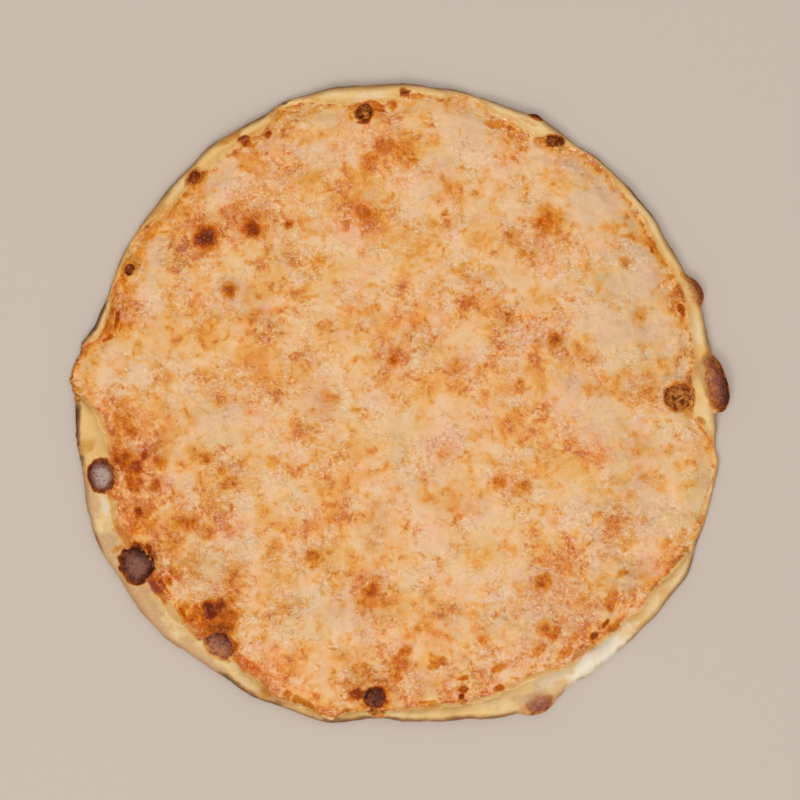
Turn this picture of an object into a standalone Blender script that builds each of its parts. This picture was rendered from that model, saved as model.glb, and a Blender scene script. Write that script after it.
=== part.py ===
"""Four cheese pizza: a thin round dough base with a low, uneven, blistered rim, a film of
tomato sauce on it, and a sheet of melted cheese over the sauce with toasted bubbles.

Each layer is first shaped as a perfectly round pizza and then warped onto the uneven
outlines that the hand-stretched dough and the melted cheese really have. The origin is the
middle of the flat underside, +Z is up, and angles run counterclockwise from +X.
"""

import bisect
import math

import bmesh
import bpy
from mathutils import Matrix, Vector, noise

MM = 0.001

# Mesh density: cells across the cheese, and so sectors round every outline
CELLS = 44
SECTORS = 4 * CELLS

# The round pizza that the layers are shaped on, in millimetres
CHEESE_R = 150.0
CRUST_R = 160.0
BASE_THICK = 3.2
RIM_CROWN = 9.0
THIN_RIM = 4.2
FULL_RIM_WIDTH = 9.0
LEAST_RIM_WIDTH = 1.4

# Layers on the dough, in millimetres
GAP = 0.3
SAUCE_THICK = 0.6
CHEESE_THICK = 2.2
CHEESE_LIFT = GAP + SAUCE_THICK + GAP

# Half section of the round dough: radius and height in millimetres
DOUGH_TOP = ((0, 3.2), (145, 3.2), (150, 4.6), (153, 7.9), (155.6, 9.0), (158, 8.0))
DOUGH_SIDE = ((160, 4.4), (159.2, 1.8), (156.5, 0), (0, 0))

# The crust's outline as degrees and millimetres, without the blisters on it
CRUST_EDGE = (
    (0, 158.5), (10, 158), (20, 158.5), (30, 156.5), (37, 158.2), (43, 157.4), (50, 158),
    (57, 157), (64, 159.5), (70, 158.3), (80, 159.3), (90, 160), (104, 161.3), (110, 162),
    (117, 159.6), (125, 160), (136, 158), (142, 157.5), (150, 158.3), (160, 156.5),
    (166, 158.2), (169.5, 162.3), (172, 163), (175, 166.8), (178, 164), (181, 162.7),
    (186, 164), (192, 162.7), (199, 165.5), (204, 167.5), (214, 166.5), (224, 167),
    (230, 165), (236, 163.5), (243, 165), (250, 163.5), (257, 164.4), (264, 160),
    (267, 159), (272, 160.3), (280, 161.5), (286, 164.6), (290, 166.8), (294.4, 170.6),
    (298, 168), (301.5, 165.6), (314, 166.2), (322, 166.8), (329, 168), (334, 165), (345, 163),
    (349, 163), (353, 159.2),
)

# The cheese's outline, which nearly reaches the dough's edge at some places and leaves a wide
# rim of dough at others
CHEESE_EDGE = (
    (1.4, 138), (4.5, 142), (6.5, 148), (10, 148.5), (16, 150), (22, 151.5), (26, 150.5),
    (29, 148.5), (33, 150.5), (38, 152.5), (44, 151.3), (47, 154.5), (53, 155.5), (57, 153),
    (60, 148.5), (64, 149), (68, 151.5), (72, 151.5), (75, 156), (79, 157.5), (82, 152.5),
    (88, 155), (91, 151), (95, 149.5), (99, 150), (103, 154), (107, 157.5), (110, 160.2),
    (112.5, 158.4), (115, 153), (119, 151.5), (125, 152), (130, 151), (136, 151),
    (141, 146.5), (145, 153), (149.5, 156.6), (152, 152.5), (158.5, 154), (161, 151.5),
    (165, 150.5), (168, 155), (169.5, 160), (172, 161.2), (175, 165), (178, 162),
    (180, 156.5), (182, 149.5), (187, 146), (192, 144.5), (197, 150.5), (203, 153),
    (208, 152), (211, 145), (215, 151), (224, 153.5), (229, 152), (231.5, 144),
    (234, 142), (237, 150), (240, 154.5), (244, 156), (248.5, 160), (252, 157),
    (255, 160), (258, 162.4), (260.5, 157), (263, 153.5), (266, 152.5), (273, 153),
    (277, 151.5), (281, 154), (284, 151.5), (287.5, 154), (291, 151), (297, 151.5),
    (302, 155), (306, 153), (310, 156.5), (315, 154), (319, 158), (323, 156), (328, 160),
    (334, 162.6), (345, 161.5), (350, 160.5), (353.5, 157), (357, 149), (358.5, 142),
)

# How far up the rim the sauce shows past the cheese, as a share of SAUCE_REACH, by degrees
SAUCE_REACH = 3.0
SAUCE_EDGE = (
    (5, 0.3), (30, 0.4), (60, 0.5), (95, 0.8), (120, 0.6), (150, 0.9), (165, 1), (185, 0.6),
    (205, 0.9), (222, 1), (240, 0.7), (262, 0.6), (285, 0.4), (315, 0.3), (335, 0.6), (350, 0.3),
)

# Dough blisters: name, degrees, radius to the middle, half its length round the rim, half
# its width across the rim, height of its top, degrees that its length is turned from the
# rim's own line
BLISTERS = (
    ("big_edge", 3.8, 157, 16.2, 7.6, 14.5, 16),
    ("right_shoulder", 21, 156, 9, 6.2, 10.5, 8),
    ("round_right", 1.2, 139.3, 8.2, 8.2, 10.2, 0),
    ("upper_right", 59.5, 150.8, 7.2, 4, 9.6, 0),
    ("top_corner", 64.5, 157.2, 4.6, 3.2, 8.6, 0),
    ("top", 96.8, 146.6, 5.4, 5.2, 9, 0),
    ("upper_left", 132.2, 152.5, 4, 4.6, 9.6, 0),
    ("left_shoulder", 153.5, 150.6, 4.2, 4.6, 9.2, 0),
    ("left_dome", 193.6, 152.4, 8.6, 7.2, 11.6, 0),
    ("lower_left_dark", 211.3, 153.2, 9.6, 9, 12, 0),
    ("lower_left_wedge", 233, 150.2, 10.4, 8.4, 11, 0),
    ("bottom_dark", 265, 147.2, 8.6, 7.6, 9.6, 0),
    ("bottom_corner", 294.4, 164.2, 10.5, 7.4, 9.6, 0),
)
BLISTER_FOOT = 2.6
BLISTER_UNDERSIDE = 0.22
CUT_CLEARANCE = 0.45

# Toasted bubbles in the cheese: degrees, radius to the middle, half width, height
CHEESE_BUBBLES = (
    (139.5, 127.8, 9, 1.7), (130.2, 113.8, 10, 1.5), (101.5, 97.4, 9, 1.4),
    (51.7, 115.3, 9, 1.5), (97, 124.2, 12, 1.1), (227.6, 138.2, 8, 1.6),
    (100.5, 23.3, 8, 1.2), (261.6, 95.5, 8, 1.4), (20.9, 81.2, 8, 1.1),
    (147, 102.8, 6, 1.1), (242.8, 86.5, 9, 1.1), (308.5, 113.4, 12, 1.2),
    (322, 60.5, 9, 1), (196, 128, 10, 1.2), (161.7, 97.8, 8, 1), (328, 130, 10, 0.9),
)

# Unevenness: size of the waves, and how far they move the surface, in millimetres
WAVE_SIZE = 34.0
WAVE_HEIGHT = 0.55
LUMP_SIZE = 15.0
LUMP_HEIGHT = 0.45
RIM_LUMP_SIZE = 21.0
RIM_LUMP_SHARE = 0.2
EDGE_LUMP_SIZE = 9.0
EDGE_LUMP = 0.5

# Steps of the cheese's rounded edge and underside: radius on the round pizza, and share of
# its thickness
CHEESE_LIP = ((149.2, 0.78), (150, 0.42), (149.4, 0.0), (145, 0.0))
CHEESE_TOP_R = 147.6

# Section of the sauce: radius on the round pizza, share of the reach past the cheese, and
# height above the dough
SAUCE_TOP = GAP + SAUCE_THICK
SAUCE_EDGE_TOP = SAUCE_TOP + 0.1
SAUCE_EDGE_UNDER = GAP + 0.3
SAUCE_SECTION = (
    (0, 0, SAUCE_TOP), (145, 0, SAUCE_TOP), (150, 0, SAUCE_TOP), (150, 0.75, SAUCE_EDGE_TOP),
    (150, 1, SAUCE_EDGE_UNDER), (150, 0, GAP + 0.1), (145, 0, GAP), (0, 0, GAP),
)

DOUGH_COLOUR = (0.72, 0.46, 0.20)
SAUCE_COLOUR = (0.60, 0.13, 0.03)
CHEESE_COLOUR = (0.76, 0.37, 0.13)


def interpolate(table, x):
    """Height of a table of points at x, on straight lines between them."""
    at = [point[0] for point in table]
    after = min(max(bisect.bisect_right(at, x), 1), len(table) - 1)
    (x0, y0), (x1, y1) = table[after - 1], table[after]
    return y0 + (y1 - y0) * (x - x0) / (x1 - x0)


def round_trip(table, angle):
    """Value at an angle of a closed ring of points, eased smoothly from one to the next."""
    degrees = math.degrees(angle) % 360
    first, last = table[0], table[-1]
    ring = ((last[0] - 360, last[1]), *table, (first[0] + 360, first[1]))
    after = min(bisect.bisect_right([point[0] for point in ring], degrees), len(ring) - 1)
    (a0, v0), (a1, v1) = ring[after - 1], ring[after]
    share = (degrees - a0) / (a1 - a0)
    return v0 + (v1 - v0) * share * share * (3 - 2 * share)


def smooth_step(share):
    share = min(max(share, 0.0), 1.0)
    return share * share * (3 - 2 * share)


def wobble(x, y, size, seed):
    """Smooth noise from -1 to 1 whose lumps are about size millimetres apart."""
    return noise.noise(Vector((x / size, y / size, seed)))


def crust_radius(angle):
    radius = round_trip(CRUST_EDGE, angle)
    x, y = radius * math.cos(angle), radius * math.sin(angle)
    return radius + EDGE_LUMP * wobble(x, y, EDGE_LUMP_SIZE, 1.5)


def cheese_radius(angle):
    radius = round_trip(CHEESE_EDGE, angle)
    x, y = radius * math.cos(angle), radius * math.sin(angle)
    radius += EDGE_LUMP * wobble(x, y, EDGE_LUMP_SIZE, 7.5)
    return min(radius, crust_radius(angle) - LEAST_RIM_WIDTH)


def warped_radius(round_r, angle):
    """Radius that a point of the round pizza moves to."""
    inner = cheese_radius(angle)
    if round_r <= CHEESE_R:
        return inner * round_r / CHEESE_R
    share = (round_r - CHEESE_R) / (CRUST_R - CHEESE_R)
    return inner + (crust_radius(angle) - inner) * share


def rim_height(angle):
    """Height of the rim's crown, which is low where the cheese runs out over it."""
    radius = crust_radius(angle)
    bare = smooth_step((radius - cheese_radius(angle)) / FULL_RIM_WIDTH)
    x, y = radius * math.cos(angle), radius * math.sin(angle)
    lump = 1 + RIM_LUMP_SHARE * wobble(x, y, RIM_LUMP_SIZE, 3.5)
    return THIN_RIM + (RIM_CROWN - THIN_RIM) * bare * lump


def dough_height(round_r, angle):
    """Height of the dough's upper surface over a point of the round pizza."""
    height = interpolate(DOUGH_TOP, round_r)
    rise = (rim_height(angle) - BASE_THICK) / (RIM_CROWN - BASE_THICK)
    return BASE_THICK + (height - BASE_THICK) * rise


def cheese_relief(x, y):
    """Waves, lumps and toasted bubbles of the cheese's upper surface, in millimetres."""
    relief = WAVE_HEIGHT * wobble(x, y, WAVE_SIZE, 11.5)
    relief += LUMP_HEIGHT * wobble(x, y, LUMP_SIZE, 17.5)
    for degrees, radius, half_width, height in CHEESE_BUBBLES:
        middle = polar_point(degrees, radius)
        distance = math.hypot(x - middle.x, y - middle.y) / half_width
        relief += height * math.exp(-1.4 * distance * distance)
    return relief


def polar_point(degrees, radius, height=0.0):
    angle = math.radians(degrees)
    return Vector((radius * math.cos(angle), radius * math.sin(angle), height))


def place(vert, radius, angle, height):
    """Moves a vertex to a radius, angle and height given in millimetres."""
    vert.co = Vector((radius * math.cos(angle), radius * math.sin(angle), height)) * MM


def round_place(vert):
    """Radius, angle and height of a vertex of a round layer, in millimetres."""
    co = vert.co / MM
    return math.hypot(co.x, co.y), math.atan2(co.y, co.x), co.z


def link(name, mesh, collection):
    obj = bpy.data.objects.new(name, mesh)
    collection.objects.link(obj)
    return obj


def evaluated_mesh(obj):
    """The object's mesh with its modifiers applied, after which the object is removed."""
    graph = bpy.context.evaluated_depsgraph_get()
    mesh = bpy.data.meshes.new_from_object(obj.evaluated_get(graph))
    bpy.data.objects.remove(obj)
    return mesh


def turned_mesh(profile, collection):
    """A half section in millimetres, turned once round Z."""
    outline = bpy.data.meshes.new("profile")
    points = [(radius * MM, 0, height * MM) for radius, height in profile]
    outline.from_pydata(points, [(i, i + 1) for i in range(len(points) - 1)], [])
    turned = link("turned", outline, collection)
    screw = turned.modifiers.new("Turn", "SCREW")
    screw.axis = "Z"
    screw.angle = math.tau
    screw.steps = screw.render_steps = SECTORS
    screw.use_merge_vertices = True
    screw.merge_threshold = 0.00005
    return evaluated_mesh(turned)


def warp_mesh(mesh, surface):
    """Moves each vertex of a round layer to the round radius and the height that surface
    gives for its place, with the round radius warped onto the uneven outlines."""
    bm = bmesh.new()
    bm.from_mesh(mesh)
    for vert in bm.verts:
        angle = round_place(vert)[1]
        round_r, height = surface(*round_place(vert))
        place(vert, warped_radius(round_r, angle), angle, height)
    bmesh.ops.recalc_face_normals(bm, faces=bm.faces)
    bm.to_mesh(mesh)
    bm.free()


def dough_surface(round_r, angle, round_z):
    """The dough's upper side follows the rim's height, and so does its round edge."""
    on_top = round_z >= BASE_THICK and round_r < DOUGH_SIDE[0][0] - 1
    if on_top:
        return round_r, dough_height(round_r, angle)
    return round_r, round_z * rim_height(angle) / RIM_CROWN


def sauce_surface(round_r, angle, lift):
    """The film lies on the dough, and past the cheese it reaches as far as it does here."""
    reach = max(round_r - CHEESE_R, 0) * round_trip(SAUCE_EDGE, angle)
    round_r = min(round_r, CHEESE_R) + reach
    return round_r, dough_height(round_r, angle) + lift


def blister(spec, collection, grow=0.0):
    """A flattened dome that lies along the rim, with its underside inside the dough."""
    name, degrees, radius, half_length, half_width, height, turned = spec
    bm = bmesh.new()
    bmesh.ops.create_uvsphere(bm, u_segments=16, v_segments=8, radius=1)
    above = height - BLISTER_FOOT + grow
    below = above * BLISTER_UNDERSIDE + grow
    for vert in bm.verts:
        vert.co.x *= (half_width + grow) * MM
        vert.co.y *= (half_length + grow) * MM
        vert.co.z *= (above if vert.co.z > 0 else below) * MM
    middle = polar_point(degrees, radius, BLISTER_FOOT) * MM
    turn = Matrix.Rotation(math.radians(degrees + turned), 4, "Z")
    bmesh.ops.transform(bm, matrix=Matrix.Translation(middle) @ turn, verts=bm.verts)
    mesh = bpy.data.meshes.new(name)
    bm.to_mesh(mesh)
    bm.free()
    return link(name, mesh, collection)


def boolean_with(obj, collection, operation):
    """Joins to an object, or cuts from it, all that the collection holds."""
    boolean = obj.modifiers.new(operation.title(), "BOOLEAN")
    boolean.operation = operation
    boolean.operand_type = "COLLECTION"
    boolean.collection = collection
    boolean.solver = "EXACT"
    name, home = obj.name, obj.users_collection[0]
    return link(name, evaluated_mesh(obj), home)


def empty_collection(collection):
    for obj in list(collection.objects):
        bpy.data.objects.remove(obj)


def keep_largest_island(obj):
    """Drops the loose scraps that a cut can leave beside or along an edge of the main body."""
    bm = bmesh.new()
    bm.from_mesh(obj.data)
    islands = []
    unseen = set(bm.faces)
    while unseen:
        island = []
        front = [unseen.pop()]
        while front:
            face = front.pop()
            island.append(face)
            joints = [edge for edge in face.edges if edge.is_manifold]
            near = {other for edge in joints for other in edge.link_faces} & unseen
            unseen -= near
            front.extend(near)
        islands.append(island)
    islands.sort(key=len)
    scraps = [face for island in islands[:-1] for face in island]
    bmesh.ops.delete(bm, geom=scraps, context="FACES")
    bm.to_mesh(obj.data)
    bm.free()


def finish(obj, colour, roughness):
    """Gives a layer its material and smooth shading with crisp folds."""
    material = bpy.data.materials.new(obj.name)
    material.use_nodes = True
    shader = material.node_tree.nodes["Principled BSDF"]
    shader.inputs["Base Color"].default_value = (*colour, 1)
    shader.inputs["Roughness"].default_value = roughness
    obj.data.materials.clear()
    obj.data.materials.append(material)
    obj.data.shade_smooth()
    obj.data.set_sharp_from_angle(angle=math.radians(50))


def make_crust(pizza, helpers):
    """Dough base and rim with the blisters joined on."""
    mesh = turned_mesh(DOUGH_TOP + DOUGH_SIDE, helpers)
    warp_mesh(mesh, dough_surface)
    crust = link("crust", mesh, pizza)
    for spec in BLISTERS:
        blister(spec, helpers)
    crust = boolean_with(crust, helpers, "UNION")
    empty_collection(helpers)
    finish(crust, DOUGH_COLOUR, 0.7)


def make_sauce(pizza, helpers, cutters):
    """Film of sauce that runs under all of the cheese and shows a little past its edge."""
    section = [(r + SAUCE_REACH * share, lift) for r, share, lift in SAUCE_SECTION]
    mesh = turned_mesh(section, helpers)
    warp_mesh(mesh, sauce_surface)
    sauce = boolean_with(link("sauce", mesh, pizza), cutters, "DIFFERENCE")
    keep_largest_island(sauce)
    finish(sauce, SAUCE_COLOUR, 0.35)


def disc_place(vert):
    """Radius and angle that a vertex of the square grid from -1 to 1 takes on a disc."""
    x, y = vert.co.x, vert.co.y
    if abs(x) < 1e-6 and abs(y) < 1e-6:
        return 0.0, 0.0
    if abs(x) >= abs(y):
        radius, angle = abs(x), math.pi / 4 * y / x
        return radius, angle + (math.pi if x < 0 else 0)
    radius, angle = abs(y), math.pi / 2 - math.pi / 4 * x / y
    return radius, angle + (math.pi if y < 0 else 0)


def make_cheese(pizza, cutters):
    """Sheet of melted cheese with relief on top, a rounded edge and a plain underside."""
    bm = bmesh.new()
    bmesh.ops.create_grid(bm, x_segments=CELLS, y_segments=CELLS, size=1)
    for vert in bm.verts:
        share, angle = disc_place(vert)
        round_r = share * CHEESE_TOP_R
        radius = warped_radius(round_r, angle)
        relief = cheese_relief(radius * math.cos(angle), radius * math.sin(angle))
        height = dough_height(round_r, angle) + CHEESE_LIFT + CHEESE_THICK
        place(vert, radius, angle, height + relief * smooth_step((CHEESE_R - round_r) / 12))
    edge = [e for e in bm.edges if e.is_boundary]
    for round_r, share in CHEESE_LIP:
        new = bmesh.ops.extrude_edge_only(bm, edges=edge)["geom"]
        edge = [e for e in new if isinstance(e, bmesh.types.BMEdge)]
        for vert in {v for e in edge for v in e.verts}:
            angle = math.atan2(vert.co.y, vert.co.x)
            height = dough_height(round_r, angle) + CHEESE_LIFT + share * CHEESE_THICK
            place(vert, warped_radius(round_r, angle), angle, height)
    bmesh.ops.holes_fill(bm, edges=edge, sides=0)
    bmesh.ops.recalc_face_normals(bm, faces=bm.faces)
    mesh = bpy.data.meshes.new("cheese")
    bm.to_mesh(mesh)
    bm.free()
    cheese = boolean_with(link("cheese", mesh, pizza), cutters, "DIFFERENCE")
    keep_largest_island(cheese)
    finish(cheese, CHEESE_COLOUR, 0.35)


def make_cutters(cutters):
    """Blisters a little larger than the real ones, which open the layers round them."""
    for spec in BLISTERS:
        cutter = blister(spec, cutters, CUT_CLEARANCE)
        cutter.hide_render = True
        cutter.display_type = "WIRE"


def main():
    for obj in list(bpy.data.objects):
        bpy.data.objects.remove(obj)
    scene = bpy.context.scene.collection
    pizza = bpy.data.collections.new("four_cheese_pizza")
    helpers = bpy.data.collections.new("helpers")
    cutters = bpy.data.collections.new("cutters")
    for collection in (pizza, helpers, cutters):
        scene.children.link(collection)
    make_cutters(cutters)
    make_crust(pizza, helpers)
    make_sauce(pizza, helpers, cutters)
    make_cheese(pizza, cutters)


main()
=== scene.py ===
"""Looks of a four cheese pizza: baked dough with a blistered rim, a film of tomato sauce and
one sheet of melted, browned cheese. Each piece is shaped on the solid that it stands for.

The pizza lies on z = 0 with its middle at the origin. Sizes are in millimetres and angles
run counterclockwise from +X; MM turns a size into metres.
"""

import math
from collections import namedtuple
from contextlib import contextmanager

import bpy
import numpy as np
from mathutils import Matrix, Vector, noise
from mathutils.bvhtree import BVHTree


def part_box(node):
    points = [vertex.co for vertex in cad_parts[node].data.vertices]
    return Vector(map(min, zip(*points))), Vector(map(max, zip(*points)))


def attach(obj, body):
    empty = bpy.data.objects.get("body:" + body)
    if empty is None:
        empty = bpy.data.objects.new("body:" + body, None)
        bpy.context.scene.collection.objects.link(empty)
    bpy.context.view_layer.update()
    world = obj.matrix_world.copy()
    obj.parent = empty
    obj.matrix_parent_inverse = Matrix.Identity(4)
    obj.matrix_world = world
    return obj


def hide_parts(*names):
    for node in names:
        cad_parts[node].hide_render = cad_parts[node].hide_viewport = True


MM = 0.001
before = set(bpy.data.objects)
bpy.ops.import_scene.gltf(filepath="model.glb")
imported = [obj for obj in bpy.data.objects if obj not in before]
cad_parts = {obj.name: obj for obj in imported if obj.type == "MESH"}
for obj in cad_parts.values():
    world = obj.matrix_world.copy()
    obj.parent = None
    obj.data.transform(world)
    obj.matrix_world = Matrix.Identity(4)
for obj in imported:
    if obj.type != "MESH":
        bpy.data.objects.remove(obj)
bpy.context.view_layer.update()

# Fineness: voxels of the dough, cells across the cheese, sectors and ring widths of the sauce,
# probes round an outline, and steps of a weight
DOUGH_VOXEL = 0.85
CHEESE_CELLS = 296
SAUCE_SECTORS = 900
SAUCE_RINGS = (0.6, 0.7, 0.8, 0.9, *(1.0,) * 8, 1.3, 1.6, 2, 3, 6, 18, 30, 40)
EDGE_PROBES = 720
WEIGHT_STEPS = 50

# The solids' own measures: round radius of the outlines, thickness of the base
ROUND_R = 150.0
BASE_THICK = 3.2

# Where the cheese hides the dough, and where the dough lies flat on its underside
HIDDEN_TOP_R = 128.0
FLAT_UNDER_R = 148.0

# Where the cheese ran over the rim and pulled the dough out, and half its width, in degrees
DRIP_DEGREES = 174.0
DRIP_HALF = 6.5

# The toppings' edges: how far past their solids' on average, and from what share of the way out
# they follow every notch
EDGE_GAIN = 0.4
EVEN_SHARE = 0.84

# Where the probing rays start, beyond and above the whole pizza, and about how high the cheese is
FAR_OUT = 200.0
HIGH_UP = 40.0
CHEESE_HIGH = 8.0

# --- Where the pizza is blistered and browned ----------------------------------------------

# A dough blister: degrees, radius to its middle, half length round the rim, half width, turn
# from the rim's own line, how dark its middle and its skirt are, how much darker its outer side
# is, how much pale ash and painted lilac sheen and how many dark pits it has, and how soft its outline is
Blister = namedtuple("Blister", "degrees radius length width turn middle skirt outer ash pits soft")

BLISTERS = tuple(Blister(*row) for row in (
    (3.6, 157.2, 17, 7.2, 14, 0.56, 0.46, 0.9, 0.36, 0.4, 0.5),
    (20.9, 157.4, 10.5, 5.2, 0, 0.42, 0.3, 1, 0.2, 0.2, 1),
    (1.2, 139.3, 8.3, 8.3, 0, 0.4, 0.5, -0.1, 0, 1, 0.2),
    (59.6, 151.2, 6.4, 3.7, 37, 0.62, 0.56, 0.3, 0, 0.6, 0.6),
    (64.8, 158.8, 4.8, 2.4, 0, 0.78, 0.6, 0.6, 0, 0.2, 0.6),
    (96.9, 146.6, 5.8, 5, 0, 0.48, 0.66, 0, 0, 1, 0.3),
    (132.3, 152.4, 4.8, 3.8, 0, 0.66, 0.5, 0.2, 0, 0.4, 0.9),
    (153.8, 150.8, 5, 3.4, 0, 0.66, 0.56, 0, 0, 0.5, 0.8),
    (193.8, 153.2, 9, 7, 0, 0.66, 0.72, 0.3, 1.15, 0.5, 0.1),
    (211.6, 154.6, 9.8, 8.4, 0, 0.76, 0.86, -0.3, 0.55, 1, 0.1),
    (233.4, 151.2, 9.6, 7.2, -8, 0.5, 0.5, -0.7, 0.5, 0.8, 0.2),
    (265.2, 148, 7.6, 7, 0, 0.82, 0.66, -0.3, 0.2, 1, 0.5),
    (294.4, 165.4, 10.5, 6.6, 0, 0.5, 0.2, 0.9, 0.5, 0.2, 1.5),
))

# Browned dabs near the rim, on dough and cheese alike: degrees, radius, half length round the
# rim, half width, heat from golden 30 over rust 60 to burnt 100, and any turn from the rim's line
RIM_BROWNED = (
    # right and upper right
    (18.6, 148.2, 4.6, 2.2, 78), (24, 157.4, 4, 3.4, 50), (24.5, 148.4, 2.6, 1.4, 30),
    (28.5, 150.2, 4, 1.2, 20, 12), (31.6, 148.6, 4.6, 1.8, 76, -6), (32.4, 132.5, 3.4, 2.6, 50),
    (62.4, 148, 2.4, 1.6, 40, 30), (65.5, 154.5, 5, 1.6, 26), (68.4, 148.4, 5, 1.8, 66, 8),
    (71, 147.2, 6, 2.6, 50), (79, 151, 7, 5, 30),
    # top and upper left
    (89, 155.6, 2.9, 2.4, 90), (91.4, 149.2, 3.4, 2.4, 62, -20), (94.2, 147, 3.6, 1.6, 73, -20),
    (97.2, 141.6, 4, 1.4, 86), (99.8, 145.6, 1.4, 3.4, 50), (106.6, 153.2, 3.4, 3, 38),
    (110, 139, 4, 3, 38), (113, 157, 5, 4, 26), (116, 151, 3.4, 2.4, 78, 30),
    (118.5, 153.4, 4.2, 1, 28, -14), (119.6, 149.6, 3.4, 2.4, 52), (120.6, 152.4, 3.2, 2.1, 100),
    (122, 141, 6, 4, 40), (123, 157.4, 9, 2.2, 36), (132.3, 151.8, 5.5, 4.2, 66), (133, 148.4, 8, 3, 42),
    (140, 147.6, 8, 2.4, 43, 10), (141.5, 152.5, 8, 5, 28), (144.6, 147.4, 9, 1, 46, -45),
    (146, 151.5, 7, 3.6, 54), (147.5, 155.5, 6, 3, 32), (150.5, 150, 6, 4, 42), (153.4, 150, 6.5, 3, 60),
    (156.4, 151, 4, 1.8, 64, 16), (157, 153.5, 8, 2.6, 30), (158, 146, 8, 4, 42), (158, 153, 5, 2, 52),
    (163.8, 147.6, 6, 2, 80, 6), (166, 141, 8, 4, 42), (167.4, 149.8, 3.6, 1.8, 73, -40),
    (168, 134, 5, 3, 40),
    # the cheese that ran over the rim at the left
    (170.4, 160.6, 5, 1.6, 66, -34), (172, 155, 6, 4, 32), (175, 165.4, 9, 1.3, 55), (176, 156, 8, 5, 36),
    (178.6, 162.4, 5, 1.4, 52, 24),
    # left
    (182, 148.5, 4, 6, 20), (187, 143, 10, 4, 50), (187.5, 152, 8, 6, 14), (188, 158, 4, 5, 28),
    (190.5, 146, 4, 2, 20), (191.5, 141, 6, 5, 70), (193.5, 134, 6, 4, 50), (196.8, 139, 6, 5, 66, 20),
    (198, 147.4, 14, 3, 30), (201, 134, 8, 5, 34), (203.2, 142, 3, 3, 74), (203.8, 155, 2, 3, 36),
    (204.5, 143, 9, 8, 48), (206, 149, 5, 4, 30), (207.2, 155, 1.6, 6, 40), (208.4, 150, 3, 2.4, 80),
    (211.5, 145, 7, 1.6, 76), (212, 138, 8, 4, 44), (217, 140, 5, 4, 50), (217.4, 149.8, 6, 1.5, 74),
    (217.6, 146.4, 3.4, 2.2, 64), (224, 151, 5, 1.6, 72, -24), (226, 150, 5, 2, 62, -10),
    (226.5, 149, 6, 1.6, 70, 10), (226.6, 145, 6, 3.6, 64),
    # lower left
    (228.2, 141.6, 4.4, 4, 90), (229.4, 149, 6, 3, 55), (229.4, 154.6, 2.4, 1.6, 46),
    (230.6, 137, 8, 5, 72, 50), (230.8, 144, 6, 6, 73), (232, 143, 5, 6, 78, 30), (235, 147.6, 4, 3, 74),
    (241.4, 151.2, 8, 2.4, 58, -10), (245, 160, 3.6, 3.4, 34), (246.4, 147, 7, 2.4, 44, -30),
    (248, 152, 4, 2, 36), (248.8, 156.4, 4, 3.2, 62),
    # bottom
    (259.4, 143, 2, 5, 44, 20), (260.6, 150, 3, 1.6, 46), (262, 147, 4.4, 3.4, 82), (263, 139.4, 9, 2, 46),
    (265.6, 153, 4, 5, 62), (266.5, 143.4, 4.6, 3.2, 60), (268.6, 141.5, 2.6, 7, 34),
    (269.4, 132, 4, 4, 60), (275.4, 150.4, 7, 1.2, 56), (278, 131, 5, 3.4, 60, 20),
    (279.4, 148.4, 2.2, 3.4, 42), (281.8, 150.2, 1.8, 1.7, 88), (282.4, 146.4, 3.4, 2, 76, -15),
    (282.8, 141, 4, 1.8, 62), (289.2, 151.2, 3, 2.2, 74), (290.4, 142, 4, 3, 62),
    # lower right
    (299, 142, 6, 3, 45), (303.4, 149.6, 7, 3.4, 50, 10), (304, 139, 5, 3, 62, 20), (307, 146, 4, 3, 46),
    (309.8, 151.8, 3.4, 2.2, 86, -10), (313, 151, 4, 1.6, 78, 10), (316.4, 146.4, 5, 2.4, 60, 14),
    (317.4, 143.4, 7, 3, 50, 12), (319.6, 153.6, 3, 1.8, 42), (321, 150.4, 3, 2, 40),
    (322.4, 139.4, 4, 2.6, 56, -30), (324, 163, 6, 2.4, 20), (328, 134, 5, 4, 42),
    (329, 153, 6, 2.6, 40, -6), (331.6, 150.4, 5, 3, 50), (334.4, 156.6, 4, 4, 34),
    (338.8, 161.6, 3.2, 2, 46), (340, 161.4, 8, 2.4, 20), (343.5, 134, 4, 4, 34), (348, 158, 12, 4, 13),
    (350, 137, 4, 3, 36), (356.4, 150.4, 3, 3, 38, -40),
)

# Where the dough's outer edge is scorched: from and to in degrees, width, percent
SCORCHED_EDGE = (
    (28, 41, 1, 50), (36, 44, 1.4, 80), (46, 62, 1.1, 50), (62, 76, 1.2, 50), (76, 104, 1.2, 55),
    (104, 110, 0.9, 40), (110, 117, 1.8, 90), (117, 123, 1.8, 65), (123, 136, 1.5, 40), (136, 143, 1.4, 50),
    (143, 152, 1.2, 35), (152, 161, 1.4, 45), (161, 168, 2.6, 100), (167.5, 181, 1.8, 60),
    (180, 187, 3.2, 100), (186, 191, 2.8, 85), (203, 206.5, 2.2, 65), (224, 230, 1, 30),
    (236, 243, 2.6, 80), (242, 249, 3.2, 75), (249, 256, 1.8, 45), (256, 262.5, 2.2, 80),
    (261, 271, 2.6, 70), (270, 275, 2.8, 60), (275, 279, 2, 50), (278, 284, 2.6, 66), (283, 292, 2, 55),
    (322, 333, 2.4, 45), (333, 339, 2, 45), (351, 357, 1, 30), (8, 14, 2.6, 35),
)

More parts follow.
